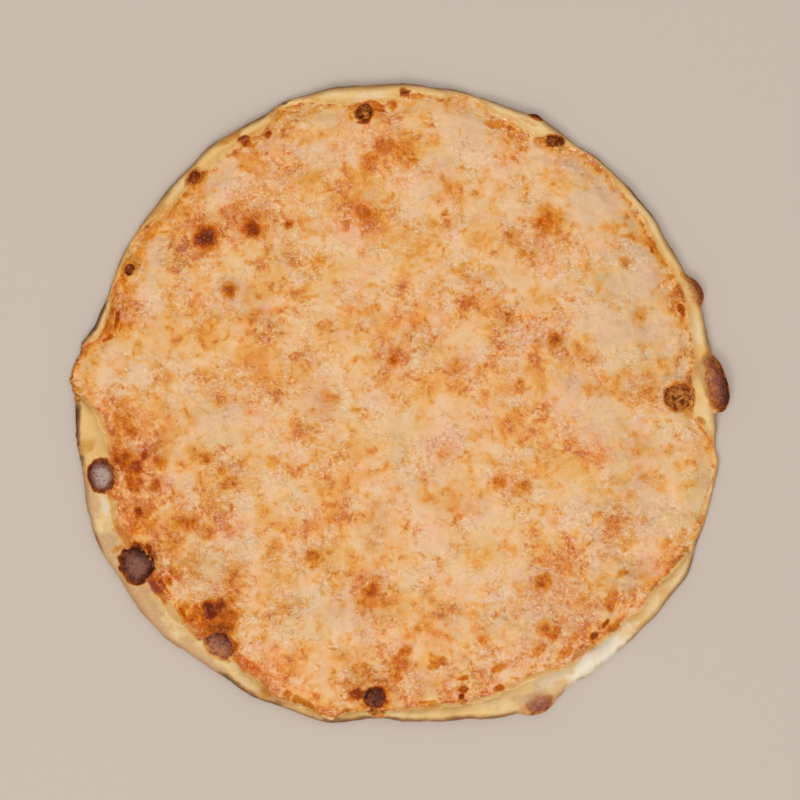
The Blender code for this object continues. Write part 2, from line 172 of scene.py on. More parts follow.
# Unbaked, floury dough, and dough dulled by grey ash: degrees, radius, half length round the
# rim, half width, percent
FLOURY = (
    (308, 160.5, 21, 6, 100), (298.5, 158, 10, 4, 50), (221.5, 150, 4, 4, 60), (199.4, 154, 5, 4, 60),
    (14, 152, 8, 2, 30), (95, 154, 8, 2.6, 40),
)
ASHY = (
    (206, 161, 9, 5.5, 100), (216, 161.6, 36, 5, 95), (232, 161, 18, 4, 80), (197, 161, 10, 3.4, 80),
    (245, 161.5, 6, 3, 70), (240, 162, 8, 3, 50), (312, 165.4, 3, 1.2, 50), (299, 162, 6, 3, 40),
    (342, 162, 10, 3, 80), (20, 158, 14, 2.6, 40), (294.4, 164, 12, 7, 90),
)

# Browned dabs on the rest of the cheese: x, y, half size, heat in percent. Hotter ones are bubbles
BUBBLE_HEAT = 45
BROWNED = (
    (124, 5, 6.5, 46), (59.5, 8.5, 5, 56), (52, 16, 4, 34), (120, 44, 5, 46), (41, 16, 5, 42),
    (69, 27, 4, 42), (77.5, 31.5, 5, 72), (113, 70, 4, 48), (28, 18.5, 5, 50), (54.5, 42.5, 5, 54),
    (107, 86.5, 4.5, 38), (66.5, 74.5, 4, 50), (74, 90, 11, 52), (11, 13.5, 4, 38), (61, 75, 4.5, 50),
    (73, 91, 7.5, 64), (46, 65, 5, 28), (35, 50, 5.5, 50), (55, 84, 5, 52), (72, 114, 5, 28),
    (24.5, 107, 5, 52), (8.5, 41.5, 5, 40), (16, 90, 4, 36), (17, 131.5, 4.5, 40), (5, 120.5, 5, 50),
    (0, 126, 7, 55), (-7.5, 127.5, 8, 56), (-14, 122.5, 6, 56), (-11, 93, 6, 55), (-3, 24, 8, 42),
    (-6, 41.5, 4.5, 38), (-17, 117.5, 4.5, 55), (-3.5, 21.5, 4.6, 68), (-18, 95, 7.4, 64),
    (-11, 47.5, 3.4, 58), (-60, 124, 6, 28), (-60, 106, 5, 30), (-41.5, 70.5, 6, 46), (-71, 117, 8, 37),
    (-55.5, 89, 3.8, 66), (-80, 98, 7, 42), (-74, 87, 6.8, 82), (-73, 88.5, 11, 56), (-39, 39, 5.5, 42),
    (-97, 83, 12, 48), (-97, 82.5, 8.6, 92), (-90, 68, 4, 34), (-85, 56, 5, 76), (-68, 33, 4.5, 20),
    (-93.5, 40, 5.5, 50), (-113, 40, 6, 32), (-37.5, 3.5, 4.6, 42), (-118, 11, 4, 40), (-138, -9, 8, 58),
    (-120, -18, 7, 24), (-22, -3.5, 3, 45), (-137, -27.5, 6, 74), (-132.5, -32, 6, 76), (-120, -30, 5, 66),
    (-127.5, -26.5, 3.4, 74), (-134, -40, 4, 72), (-131, -54, 3.6, 80), (-134.5, -14, 5, 68),
    (-97, -28, 5, 62), (-122.5, -41.5, 4.5, 68), (-89, -34.5, 4, 60), (-112, -46, 6, 42), (-86, -40, 7, 58),
    (-63, -30, 5, 58), (-111, -59.5, 8, 58), (-105, -60.5, 6, 66), (-56, -32.5, 4, 42), (-43.5, -28, 4, 20),
    (-96, -64, 7, 50), (-104, -76, 6, 26), (-86, -63, 5, 45), (-67, -55.5, 4, 50), (-82.5, -87, 9, 46),
    (-95, -102.5, 6, 94), (-90, -102, 5, 88), (-92.5, -109, 6, 73), (-86, -104.5, 5, 70),
    (-85.5, -112, 5, 76), (-90, -115.5, 6, 72), (-98.5, -110, 5, 72), (-105, -108, 5, 70),
    (-107, -101.5, 4, 60), (-84, -98, 5, 55), (-63, -72, 7, 42), (-42.5, -60.5, 4.5, 48),
    (-58.5, -100, 5, 36), (-43.5, -78, 7, 62), (-28, -54.5, 4.5, 36), (-50, -122, 6, 34),
    (-14.5, -71.5, 5, 36), (-14.5, -94, 6.6, 68), (-20, -132.5, 7, 48), (-5, -99.5, 7, 40),
    (-2, -136.5, 5, 60), (0, -130, 6, 64), (2.5, -124.5, 4, 66), (16, -127.5, 4.5, 50), (16, -99.5, 4, 42),
    (23, -104.5, 4.5, 44), (42, -118.5, 4, 58), (29, -71.5, 4, 32), (73, -113, 6, 56), (71.5, -89.5, 6, 66),
    (92.5, -100.5, 9, 34), (22.5, -25.5, 5, 34), (82.5, -81, 6.5, 38), (50, -40, 5.5, 60),
    (60.5, -42.5, 6, 62), (112, -70, 5, 36), (107, -60.5, 6, 52), (95, -38, 5, 34), (130, -40, 6, 34),
    (99, -26, 6, 42), (85, -19.5, 5, 42), (34, -5.5, 2, 40), (59.5, -8.5, 8, 36), (-90, 1, 5, 40),
    (57, 81, 5, 46), (-36, 38, 5, 36), (-96, -50, 8, 40), (40, -78, 9, 30), (-16, -100, 8, 58),
    (60, -34, 8, 30), (40, 82, 8, 34), (-114, -70, 9, 50), (-60, -86, 8, 34),
)

# Larger places where the cheese looks different, by percent: x, y, half size of each. It is
# rosy where sauce stains it, pale in pools without stains and where a whitish sheen of reflected
# light is painted, and dulled by brown crumbs
ROSY = {
    100: ((-119, -87.5, 9), (85, -120, 14)),
    90: (
        (-7.5, 130, 13), (-99.5, 89, 15), (-73, 91.5, 13), (71.5, 89, 9), (-133.5, -32.5, 14),
        (-120, -42.5, 7), (-105.5, -60.5, 8), (-69, -131, 11), (-14.5, -93.5, 11), (-2.5, -134.5, 13),
        (24.5, -144.5, 8), (46, -142, 12), (80, -83.5, 13), (98.5, -25.5, 8),
    ),
    80: ((-19.5, 93.5, 14), (-99.5, -110.5, 8), (70.5, -115, 9), (109.5, -98.5, 10), (90, -104, 14)),
    70: (
        (51, 135, 8), (-5, 40.5, 7), (-2.5, 23, 9), (31.5, 16, 10), (-138.5, -8.5, 12), (-128.5, -59.5, 15),
        (-90, -62, 9), (-57, -144.5, 7), (-56, -32.5, 7), (5, -149, 8), (48.5, -132, 8), (41.5, -119, 6),
        (68, -96, 8), (86, -13, 8), (51, -40, 8), (119, 8.5, 8),
    ),
    60: (
        (-10, 143.5, 7), (-68, 120.5, 14), (-56, 89, 6), (-24.5, 84, 8), (58, 127.5, 8), (24.5, 106, 6),
        (34, 50, 7), (-87.5, -96, 9), (-24.5, -144.5, 8), (14.5, -117.5, 8), (133.5, -76.5, 12),
        (-138.5, 45, 9), (13.5, -62, 6), (70, -104, 10),
    ),
    50: (
        (87.5, 125.5, 12), (73, 35.5, 14), (57, -13, 12), (136, 4, 8), (107, -59.5, 7), (-29, -52, 6),
        (-10, -120, 14), (62, -122, 12), (2, 118, 12),
    ),
    40: (
        (12.5, 41.5, 16), (55, 29, 12), (-43.5, -62, 8), (-90, -64, 10), (20, -142, 12), (-22, -140, 12),
        (22, -140, 12),
    ),
    35: ((-65.5, 30.5, 12), (-94.5, 50, 12)),
}
# Pale pools, and a painted sheen of reflected light that whitens the cheese
PALE_AND_SHEEN = {
    100: ((-31.5, 144.5, 9), (32, 140, 12), (-108, -94, 4), (98, 80, 12)),
    90: ((-24.5, 73, 11), (102, 101, 13), (82.5, 6, 12), (148, -48, 7), (154, -35, 7), (-44, -28, 9)),
    80: (
        (114, 59.5, 19), (104.5, -6, 14), (113, -18, 10), (46, -62, 15), (-29, -115, 8), (112, 90, 8),
        (80, 116, 12), (20, -2, 9),
    ),
    70: (
        (41.5, 121, 13), (109.5, 40, 14), (131, 40, 7), (-145.5, 18.5, 11), (156, -24, 6), (-52, 136, 8),
        (-20, 36, 9), (-58, 24, 9), (-42, -48, 12), (-38, 141, 7), (60, -22, 8), (120, -80, 8),
        (102, -104, 8),
    ),
    60: (
        (-36.5, 132.5, 7), (9.5, 106, 7), (24.5, -64, 9), (-60, -48.5, 13), (-43.5, -131, 8), (150, -60, 6),
        (-56, 116, 9), (104, 18, 9), (124, -16, 9), (-20, 110, 9), (78, 80, 8), (-88, 40, 9), (22, -42, 9),
        (-20, -74, 9), (100, -84, 9), (-62, -118, 8), (20, -120, 8), (42, -112, 8),
    ),
    50: (
        (24.5, 123, 7), (5, -18.5, 14), (-97, -13, 16), (-43.5, -40, 8), (7.5, -33.5, 12), (-102, -70, 5),
        (-90, 104, 6), (142, -30, 8), (-112, 26, 10), (146, -12, 8), (-30, 118, 8), (10, 2, 9), (84, 18, 9),
        (40, 62, 7), (116, 14, 9), (-84, 34, 8), (-24, 110, 6), (-62, 120, 12), (-42, 100, 9), (20, 98, 8),
        (-42, -42, 8), (82, -70, 9), (-124, -14, 8), (62, 4, 9), (-40, -136, 7), (62, 44, 7),
    ),
    40: (
        (34, -1, 8), (-109.5, 62, 13), (125, -48.5, 10), (37.5, 29, 8), (-75, -13.5, 14), (50, -83.5, 9),
        (-80, 138, 4), (-115, 105, 6), (-86, -70, 5), (-66, 108, 7), (-40, 100, 8), (88, -64, 9),
        (150, 30, 6), (-14, -42, 9),
    ),
    30: ((15, -83.5, 12), (-25, 22, 8), (-74, 60, 8), (-40, -56, 9)),
}
GOLDEN = {
    90: ((-95, 40, 16), (60, -10, 11), (-132, -56, 12), (-126, -74, 9)),
    80: ((-68, 33, 12), (-15, -135, 12), (-84, -90, 12), (150, -76, 8), (40, -80, 12), (40, 80, 12)),
    70: ((-38, -75, 12), (28, -138, 8), (-62, -84, 14)),
    60: (
        (-75, 48, 12), (-118, -44, 9), (22, 14, 18), (56, 18, 14), (-18, -104, 14), (-100, -44, 14),
        (-118, -64, 14), (0, -78, 12), (-60, -100, 12), (-104, -98, 9), (-102, 62, 12), (-104, 4, 12),
    ),
    50: (
        (-40, 56, 14), (-60, -70, 12), (-8, 112, 14), (100, -90, 10), (58, 132, 9), (122, 6, 10),
        (-112, -20, 12), (75, 90, 12), (-106, 0, 12), (60, -36, 12), (62, -104, 12), (-96, -96, 12),
        (-2, -20, 14), (-102, 2, 12), (-82, -22, 12), (0, -102, 12), (-42, -118, 11), (60, -120, 10),
        (-40, 62, 10), (-18, -2, 10), (140, 18, 8), (-40, 40, 14), (-30, 8, 14), (140, -42, 9),
    ),
    40: (
        (-62, 14, 12), (-84, 14, 14), (72, -66, 12), (36, 60, 12), (-100, 98, 10), (44, 100, 9),
        (-30, -90, 10), (60, 82, 12), (-46, -8, 14), (-58, -40, 10), (100, -44, 9), (-60, 40, 10),
        (-64, 4, 12),
    ),
    30: ((-100, -2, 13), (-68, 120, 12), (0, 62, 12)),
}
DULL = {
    80: ((-86, -40, 9), (-94, -62, 12), (105, -60, 13), (-138, 44, 8), (-85, 56, 7)),
    70: ((-45, -77, 8),),
    60: (
        (112, 72, 9), (80, 30, 10), (85, -118, 14), (72, -90, 13), (-4, 22, 8), (60, -42, 7), (54, 43, 7),
        (118, 42, 7), (-120, -78, 10), (-118, -40, 9),
    ),
    50: (
        (60, 80, 11), (-98, -28, 7), (120, 44, 6), (-110, -88, 10), (-40, -78, 8), (120, -60, 10),
        (-138, -30, 12), (118, -86, 9), (57, 82, 8), (-104, -42, 10), (-84, -86, 9), (-22, -138, 9),
        (26, -139, 9), (-122, -40, 10), (-82, -82, 12), (-18, -102, 10),
    ),
    40: (
        (57, 10, 8), (-112, 75, 8), (-62, -72, 6), (-55, -95, 8), (-15, -72, 6), (-90, 2, 6), (-37, 38, 6),
        (0, -132, 10), (100, -108, 9), (-82, 56, 6), (140, 26, 8), (-112, -62, 9), (64, -118, 10),
        (-104, -98, 9), (-58, -102, 10), (-112, 0, 9), (-100, 2, 10),
    ),
    30: ((96, -44, 7), (20, -105, 9), (28, -76, 5), (30, 18, 7)),
    20: ((25, -30, 8),),
}
GREY = {
    80: ((118, 60, 20), (97, 104, 15), (152, -52, 8), (156, -40, 8)),
    70: ((126, 58, 10), (138, 20, 10)),
    60: (
        (108, 42, 16), (116, -16, 10), (-45, -103, 10), (112, 88, 9), (140, 0, 9), (118, 16, 14),
        (130, 84, 10), (124, -22, 14), (138, 34, 12),
    ),
    50: (
        (112, 76, 9), (-86, -4, 10), (148, -40, 9), (122, -24, 12), (108, -84, 12), (110, -40, 12),
        (-20, -142, 9), (14, -142, 9),
    ),
    40: (
        (104, -6, 14), (-112, 75, 8), (130, -30, 9), (-40, -105, 14), (44, -134, 10), (-126, 20, 14),
        (98, -98, 10), (100, 24, 12), (106, 84, 14),
    ),
    30: ((135, -60, 10), (36, 142, 10), (84, 6, 12), (-84, -18, 14)),
}

# Burst bubbles that left a raised ring in the cheese: x, y, half size
RINGS = (
    (-83.5, 108.5, 3.2), (34, -7, 3.6), (-2, 4.5, 2.6), (-117, -87, 4), (-64, 117, 3), (73.5, -112, 3.4),
)


def smooth_step(share):
    share = np.clip(share, 0.0, 1.0)
    return share * share * (3 - 2 * share)


def lumps(points, size, seed):
    """Soft noise from -1 to 1 at each point, with lumps about size millimetres apart."""
    return np.array([noise.noise((x, y, z + seed)) for x, y, z in points / size])


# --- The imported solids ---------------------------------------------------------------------


def solid_tree(mesh):
    """Search tree of a mesh, in millimetres, for probing where its surface is."""
    points = [tuple(vert.co / MM) for vert in mesh.vertices]
    return BVHTree.FromPolygons(points, [tuple(face.vertices) for face in mesh.polygons])


def edge_ring(node):
    """Radius of a solid's outline at EDGE_PROBES angles, probed with level rays."""
    tree = solid_tree(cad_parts[node].data)
    low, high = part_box(node)
    heights = np.arange(low.z / MM + 0.2, high.z / MM, 0.35)
    ring = []
    for angle in np.arange(EDGE_PROBES) * math.tau / EDGE_PROBES:
        out = Vector((math.cos(angle), math.sin(angle), 0))
        hits = [tree.ray_cast(out * FAR_OUT + Vector((0, 0, z)), -out)[3] for z in heights]
        ring.append(FAR_OUT - min(hit for hit in hits if hit is not None))
    return np.array(ring)


def radius_at(ring, angle):
    """Radius of an outline at any angles, between the probed ones."""
    probes = np.arange(len(ring)) * math.tau / len(ring)
    return np.interp(angle, probes, ring, period=math.tau)


def drop_on(tree, x, y, missing=math.nan):
    """Height of the highest surface under each point, or missing where there is none."""
    found = []
    for px, py in zip(x, y):
        hit = tree.ray_cast(Vector((px, py, HIGH_UP)), Vector((0, 0, -1)))[0]
        found.append(missing if hit is None else hit.z)
    return np.array(found)


def closed(ring, reach=8):
    """A ring without its narrow notches, which blisters cut in the toppings' outlines."""
    shifts = range(-reach, reach + 1)
    widest = np.max([np.roll(ring, shift) for shift in shifts], axis=0)
    return np.min([np.roll(widest, shift) for shift in shifts], axis=0)


def evened(ring, reach=24):
    """A ring averaged over reach probes to either side."""
    weights = np.hanning(2 * reach + 1)
    wrapped = np.concatenate([ring[-reach:], ring, ring[:reach]])
    return np.convolve(wrapped, weights / weights.sum(), "valid")


def spread_to(share, angle, ring, ragged):
    """Radius at a share of the way out, so that only the outer part follows a ragged ring."""
    even = radius_at(evened(ring), angle)
    edge = radius_at(ring, angle) + ragged
    return share * even + (edge - even) * smooth_step((share - EVEN_SHARE) / (1 - EVEN_SHARE))


def ragged_edge(angle, sizes, seeds):
    """How far a topping's edge strays in and out, in lumps of three sizes."""
    rim = np.stack([np.cos(angle), np.sin(angle), np.zeros_like(angle)], 1) * ROUND_R
    waves = zip((0.9, 0.8, 0.5), sizes, seeds)
    return EDGE_GAIN + sum(height * lumps(rim, size, seed) for height, size, seed in waves)


CRUST_RING = edge_ring("crust")
SAUCE_RING = closed(edge_ring("sauce"))
CHEESE_RING = closed(edge_ring("cheese"))


# --- Working on a piece --------------------------------------------------------------------


def hold(piece):
    """Makes a piece the only one selected and the active one."""
    bpy.ops.object.select_all(action="DESELECT")
    piece.select_set(True)
    bpy.context.view_layer.objects.active = piece


@contextmanager
def editing(piece, kind="FACE", action="SELECT"):
    """Edit mode on one piece, with all of it or nothing selected to begin with."""
    hold(piece)
    bpy.ops.object.mode_set(mode="EDIT")
    bpy.ops.mesh.select_mode(type=kind)
    bpy.ops.mesh.select_all(action=action)
    yield
    bpy.ops.object.mode_set(mode="OBJECT")


def add_object(name, data, place=(0, 0, 0)):
    """A new object in the scene, made from its data and put in a place."""
    thing = bpy.data.objects.new(name, data)
    thing.location = place
    bpy.context.scene.collection.objects.link(thing)
    return thing


def points_of(piece):
    """A piece's vertices as an array of millimetres."""
    flat = np.zeros(len(piece.data.vertices) * 3)
    piece.data.vertices.foreach_get("co", flat)
    return flat.reshape(-1, 3) / MM


def move_points(piece, points):
    piece.data.vertices.foreach_set("co", (points * MM).ravel())
    piece.data.update()


def polar(points):
    return np.hypot(points[:, 0], points[:, 1]), np.arctan2(points[:, 1], points[:, 0])


def work(piece, kind, **settings):
    """Adds a modifier to a piece and applies it."""
    hold(piece)
    modifier = piece.modifiers.new(kind.title(), kind)
    for name, value in settings.items():
        setattr(modifier, name, value)
    bpy.ops.object.modifier_apply(modifier=modifier.name)


def weigh(piece, name, weights):
    """Gives a piece a vertex group with these weights, in WEIGHT_STEPS steps."""
    group = piece.vertex_groups.new(name=name)
    levels = np.round(np.clip(weights, 0, 1) * WEIGHT_STEPS)
    for level in range(1, WEIGHT_STEPS + 1):
        members = np.nonzero(levels == level)[0]
        if len(members):
            group.add(members.tolist(), level / WEIGHT_STEPS, "REPLACE")


def ruffle(piece, size, height, group, direction="NORMAL", depth=0):
    """Raises and lowers a surface in cloudy lumps of a size, by height from low to high."""
    texture = bpy.data.textures.new(f"{piece.name}_lumps_{size}", "CLOUDS")
    texture.noise_scale = size * MM
    texture.noise_depth = depth
    work(
        piece, "DISPLACE", texture=texture, strength=height * MM, vertex_group=group,
        direction=direction, texture_coords="LOCAL",
    )


def paint(piece, name, values):
    """Stores a value for each vertex, which the piece's material reads."""
    layer = piece.data.attributes.new(name, "FLOAT", "POINT")
    layer.data.foreach_set("value", np.clip(values, 0, 1).astype(np.float32))


def serve(piece, node, finish):
    """Gives a piece its finish and puts it in its solid's place."""
    piece.data.materials.clear()
    piece.data.materials.append(finish)
    with editing(piece):
        bpy.ops.mesh.normals_make_consistent(inside=False)
    bpy.ops.object.shade_smooth()
    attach(piece, "root")
    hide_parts(node)


def dab(points, x, y, half_x, half_y=None, turn=0.0):
    """Distance from a dab's middle as a share of its size, along and across its turn."""
    half_y = half_y or half_x
    angle = math.radians(turn)
    dx, dy = points[:, 0] - x, points[:, 1] - y
    along = (dx * math.cos(angle) + dy * math.sin(angle)) / half_x
    across = (dy * math.cos(angle) - dx * math.sin(angle)) / half_y
    return np.hypot(along, across)


def round_dabs(points, table, warp, even=0.0):
    """Strongest of many soft round dabs at each point. Warp breaks up their outlines, and even
    makes those of strong dabs rounder."""
    value = np.zeros(len(points))
    for x, y, size, percent in table:
        strength = percent / 100
        near = np.nonzero(np.hypot(points[:, 0] - x, points[:, 1] - y) < 2.2 * size)[0]
        reach = dab(points[near], x, y, size) + warp[near] * (1 - even * strength)
        value[near] = np.maximum(value[near], strength * smooth_step((1.5 - reach) / 1.3))
    return value


def rim_reach(points, degrees, radius, length, width, turn=0.0):
    """Distance from the middle of a dab near the rim as a share of its size."""
    angle = math.radians(degrees)
    x, y = radius * math.cos(angle), radius * math.sin(angle)
    return dab(points, x, y, width, length, degrees + turn)


def rim_dabs(points, table, warp):
    """Strongest of many soft dabs near the rim at each point."""
    value = np.zeros(len(points))
    for degrees, radius, length, width, percent, *turn in table:
        reach = rim_reach(points, degrees, radius, length, width, *turn) + warp
        value = np.maximum(value, percent / 100 * smooth_step((1.4 - reach) / 0.85))
    return value


# --- Dough ---------------------------------------------------------------------------------


def copy_solid(node, name):
    """A merged copy of a solid, to be worked into a finer piece."""
    piece = add_object(name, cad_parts[node].data.copy())
    with editing(piece):
        bpy.ops.mesh.remove_doubles(threshold=0.02 * MM)
    return piece


def patch_flat(piece, radius, low, high):
    """Replaces the fine faces of a flat round area between two heights by one plain patch."""
    faces = piece.data.polygons
    centres = np.zeros(len(faces) * 3)
    faces.foreach_get("center", centres)
    x, y, z = centres.reshape(-1, 3).T / MM
    inside = (np.hypot(x, y) < radius) & (z > low) & (z < high)
    with editing(piece, "FACE", "DESELECT"):
        bpy.ops.object.mode_set(mode="OBJECT")
        piece.data.polygons.foreach_set("select", inside)
        bpy.ops.object.mode_set(mode="EDIT")
        bpy.ops.mesh.delete(type="FACE")
        bpy.ops.mesh.select_mode(type="EDGE")
        bpy.ops.mesh.select_all(action="DESELECT")
        bpy.ops.mesh.select_non_manifold()
        bpy.ops.mesh.edge_face_add()
        bpy.ops.mesh.quads_convert_to_tris(quad_method="BEAUTY", ngon_method="BEAUTY")


def burnt(points):
    """How dark, ashy and pitted the dough's blisters are, how much painted sheen they carry, and how
    browned it is around them.
    """
    dark, ash, pits, halo = np.zeros((4, len(points)))
    rough = 0.14 * lumps(points, 6.0, 21.0) + 0.1 * lumps(points, 2.4, 37.0)
    for blister in BLISTERS:
        reach = rim_reach(points, *blister[:5]) + rough * (1 + blister.soft)
        angle = math.radians(blister.degrees)
        outward = points[:, 0] * math.cos(angle) + points[:, 1] * math.sin(angle) - blister.radius
        outward = np.clip(outward / blister.width, -1, 1)
        inside = smooth_step((1.1 + 0.3 * blister.soft - reach) / (0.1 + 0.8 * blister.soft))
        middle = smooth_step((1.0 - reach) / 0.7)
        shade = blister.skirt + (blister.middle - blister.skirt) * middle
        shade = np.maximum(shade + 0.5 * blister.outer * outward, 0.1)
        dark = np.maximum(dark, inside * shade)
        # Ash and a painted lilac sheen, whitish at the most, in each blister's middle
        ash = np.maximum(ash, blister.ash * middle)
        pits = np.maximum(pits, blister.pits * smooth_step((0.95 - reach) / 0.3))
        tanned = blister.skirt * (0.4 + 0.4 * blister.soft)
        halo = np.maximum(halo, tanned * smooth_step((1.6 - reach) / 0.7))
    return dark, ash, pits, halo


def bake_dough():
    """The base and rim, with a soft skin, swollen blisters and a flat underside."""
    dough = copy_solid("crust", "baked_dough")
    work(dough, "REMESH", mode="VOXEL", voxel_size=DOUGH_VOXEL * MM)
    work(dough, "SMOOTH", factor=0.5, iterations=7)
    patch_flat(dough, HIDDEN_TOP_R, low=2.0, high=4.5)
    patch_flat(dough, FLAT_UNDER_R, low=-1.0, high=0.6)
    points = points_of(dough)
    radius, angle = polar(points)
    lifted = smooth_step((points[:, 2] - 0.3) / 2.0)
    dark, _, pits, _ = burnt(points)
    drip = smooth_step((DRIP_HALF - np.abs(np.degrees(angle) - DRIP_DEGREES)) / 1.5)
    frayed = drip * smooth_step((4 - radius_at(CRUST_RING, angle) + radius) / 3)
    weigh(dough, "skin", lifted * smooth_step((radius - 132) / 8))
    weigh(dough, "crackled", lifted * np.maximum(0.4 * dark, 0.8 * pits))
    weigh(dough, "frayed", frayed)
    ruffle(dough, 16, 1.2, "skin")
    ruffle(dough, 4.2, 0.25, "skin")
    ruffle(dough, 1.7, 1.3, "crackled", depth=1)
    ruffle(dough, 2.2, 3.4, "frayed", depth=1)
    low, high = (np.array(corner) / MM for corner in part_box("crust"))
    move_points(dough, np.clip(points_of(dough), low, high))
    paint_dough(dough)
    serve(dough, "crust", dough_finish())
    return dough


def scorched(points, warp):
    """How scorched the outermost edge is, all the way round."""
    radius, angle = polar(points)
    inset = radius_at(CRUST_RING, angle) - radius
    degrees = np.degrees(angle) % 360
    value = np.zeros(len(points))
    for start, stop, width, percent in SCORCHED_EDGE:
        along = smooth_step((np.minimum(degrees - start, stop - degrees) + 1.5) / 3)
        across = smooth_step((1.5 - inset / width + 1.4 * warp) / 1.2)
        value = np.maximum(value, percent / 100 * along * across)
    return value


def paint_dough(dough):
    """Marks where the dough is burnt, ashy and given a painted sheen, browned at its edge and darkened
    there by painted shade, oily, and floury.
    """
    points = points_of(dough)
    radius, angle = polar(points)
    dark, ash, pits, halo = burnt(points)
    warp = 0.5 * lumps(points, 5.0, 61.0) + 0.4 * lumps(points, 2.4, 63.0)
    beyond_cheese = radius - radius_at(CHEESE_RING, angle)
    marks = 0.75 * rim_dabs(points, RIM_BROWNED, warp)
    ring = halo * smooth_step((2.5 - beyond_cheese) / 3)
    paint(dough, "dark", np.maximum.reduce([dark, ring, marks]))
    paint(dough, "singed", scorched(points, 0.4 * warp))
    # Ash and a painted sheen on the blisters
    paint(dough, "ash", ash)
    paint(dough, "pits", pits)
    paint(dough, "oily", 1 - smooth_step((beyond_cheese - 0.2) / 3 + 0.6 * warp))
    inset = radius_at(CRUST_RING, angle) - radius
    floury = rim_dabs(points, FLOURY, warp)
    # The browned foot of the outer edge, darkened further by painted shade towards the outside, and less
    # where floury
    paint(dough, "browned_and_shaded_foot", (3.7 - inset) / 4.5 * (1 - 0.85 * floury))
    paint(dough, "floury", floury)
    paint(dough, "dusty", rim_dabs(points, ASHY, warp))


def parted(points, ground):
    """Points of a topping, sunk out of sight where the dough's blisters come up through it."""
    points = points.copy()
    rough = 0.14 * lumps(points, 5.0, 81.0) + 0.1 * lumps(points, 2.4, 83.0)
    for blister in BLISTERS:
        reach = rim_reach(points, *blister[:5]) + rough
        sunk = smooth_step((0.98 - 0.3 * blister.soft - reach) / 0.16)
        points[:, 2] -= sunk * np.maximum(points[:, 2] - ground + 0.8, 0)
    return points


# --- Sauce ---------------------------------------------------------------------------------

# Where the sauce is thick and red, and not just a stain of oil: x, y, half size, percent
THICK_SAUCE = (
    (-122, -89, 9, 100), (-116, -94, 6, 90), (-136, -66, 9, 60), (-140, -28, 10, 60), (-142, -14, 7, 50),
    (85, -124, 12, 50), (76, -129, 8, 40), (-78, -130, 8, 60), (-62, -142, 8, 60), (8, -151, 9, 40),
    (52, 139, 7, 40), (-98, -116, 8, 60),
)


def add_disc(name, sides, fill, height=0.0):
    """A round, flat sheet of the toppings' size."""
    bpy.ops.object.select_all(action="DESELECT")
    bpy.ops.mesh.primitive_circle_add(
        vertices=sides, radius=ROUND_R * MM, fill_type=fill, location=(0, 0, height * MM)
    )
    bpy.ops.object.transform_apply(location=True)
    disc = bpy.context.object
    disc.name = disc.data.name = name
    return disc


def spread_sauce(dough_tree):
    """Film of sauce that shows as a narrow, uneven margin between cheese and bare dough."""
    sauce = add_disc("tomato_sauce", SAUCE_SECTORS, "NGON", BASE_THICK)
    with editing(sauce):
        for width in SAUCE_RINGS:
            bpy.ops.mesh.inset(thickness=width * MM)
    round_r, angle = polar(points_of(sauce))
    share = round_r / ROUND_R
    radius = spread_to(share, angle, SAUCE_RING, ragged_edge(angle, (7, 2.6, 1.2), (3.0, 5.0, 6.0)))
    points = np.stack([radius * np.cos(angle), radius * np.sin(angle), share * 0], 1)
    ground = drop_on(dough_tree, points[:, 0], points[:, 1], BASE_THICK)
    film = 0.4 + 0.2 * lumps(points, 3.4, 9.0)
    points[:, 2] = ground + film * smooth_step((1.001 - share) / 0.01)
    points[:, 2] -= 0.35 * smooth_step((share - 0.995) / 0.004)
    points = parted(points, ground)
    move_points(sauce, points)
    work(sauce, "SOLIDIFY", thickness=0.25 * MM, offset=-1)
    points = points_of(sauce)
    warp = 0.5 * lumps(points, 3.0, 71.0)
    marks = round_dabs(points, THICK_SAUCE, warp), 1.3 * rim_dabs(points, RIM_BROWNED, warp)
    paint(sauce, "thick", np.maximum.reduce([*marks, 1.6 * burnt(points)[3]]))
    serve(sauce, "sauce", sauce_finish())


# --- Cheese --------------------------------------------------------------------------------


def lip_ring(piece, count):
    """Extrudes a sheet's open edge down in steps of a metre, which are told apart by their
    height later, and closes the last one."""
    with editing(piece, "EDGE", "DESELECT"):
        bpy.ops.mesh.select_non_manifold()
        for _ in range(count):
            bpy.ops.mesh.extrude_edges_move(TRANSFORM_OT_translate={"value": (0, 0, -1)})
        bpy.ops.mesh.edge_face_add()


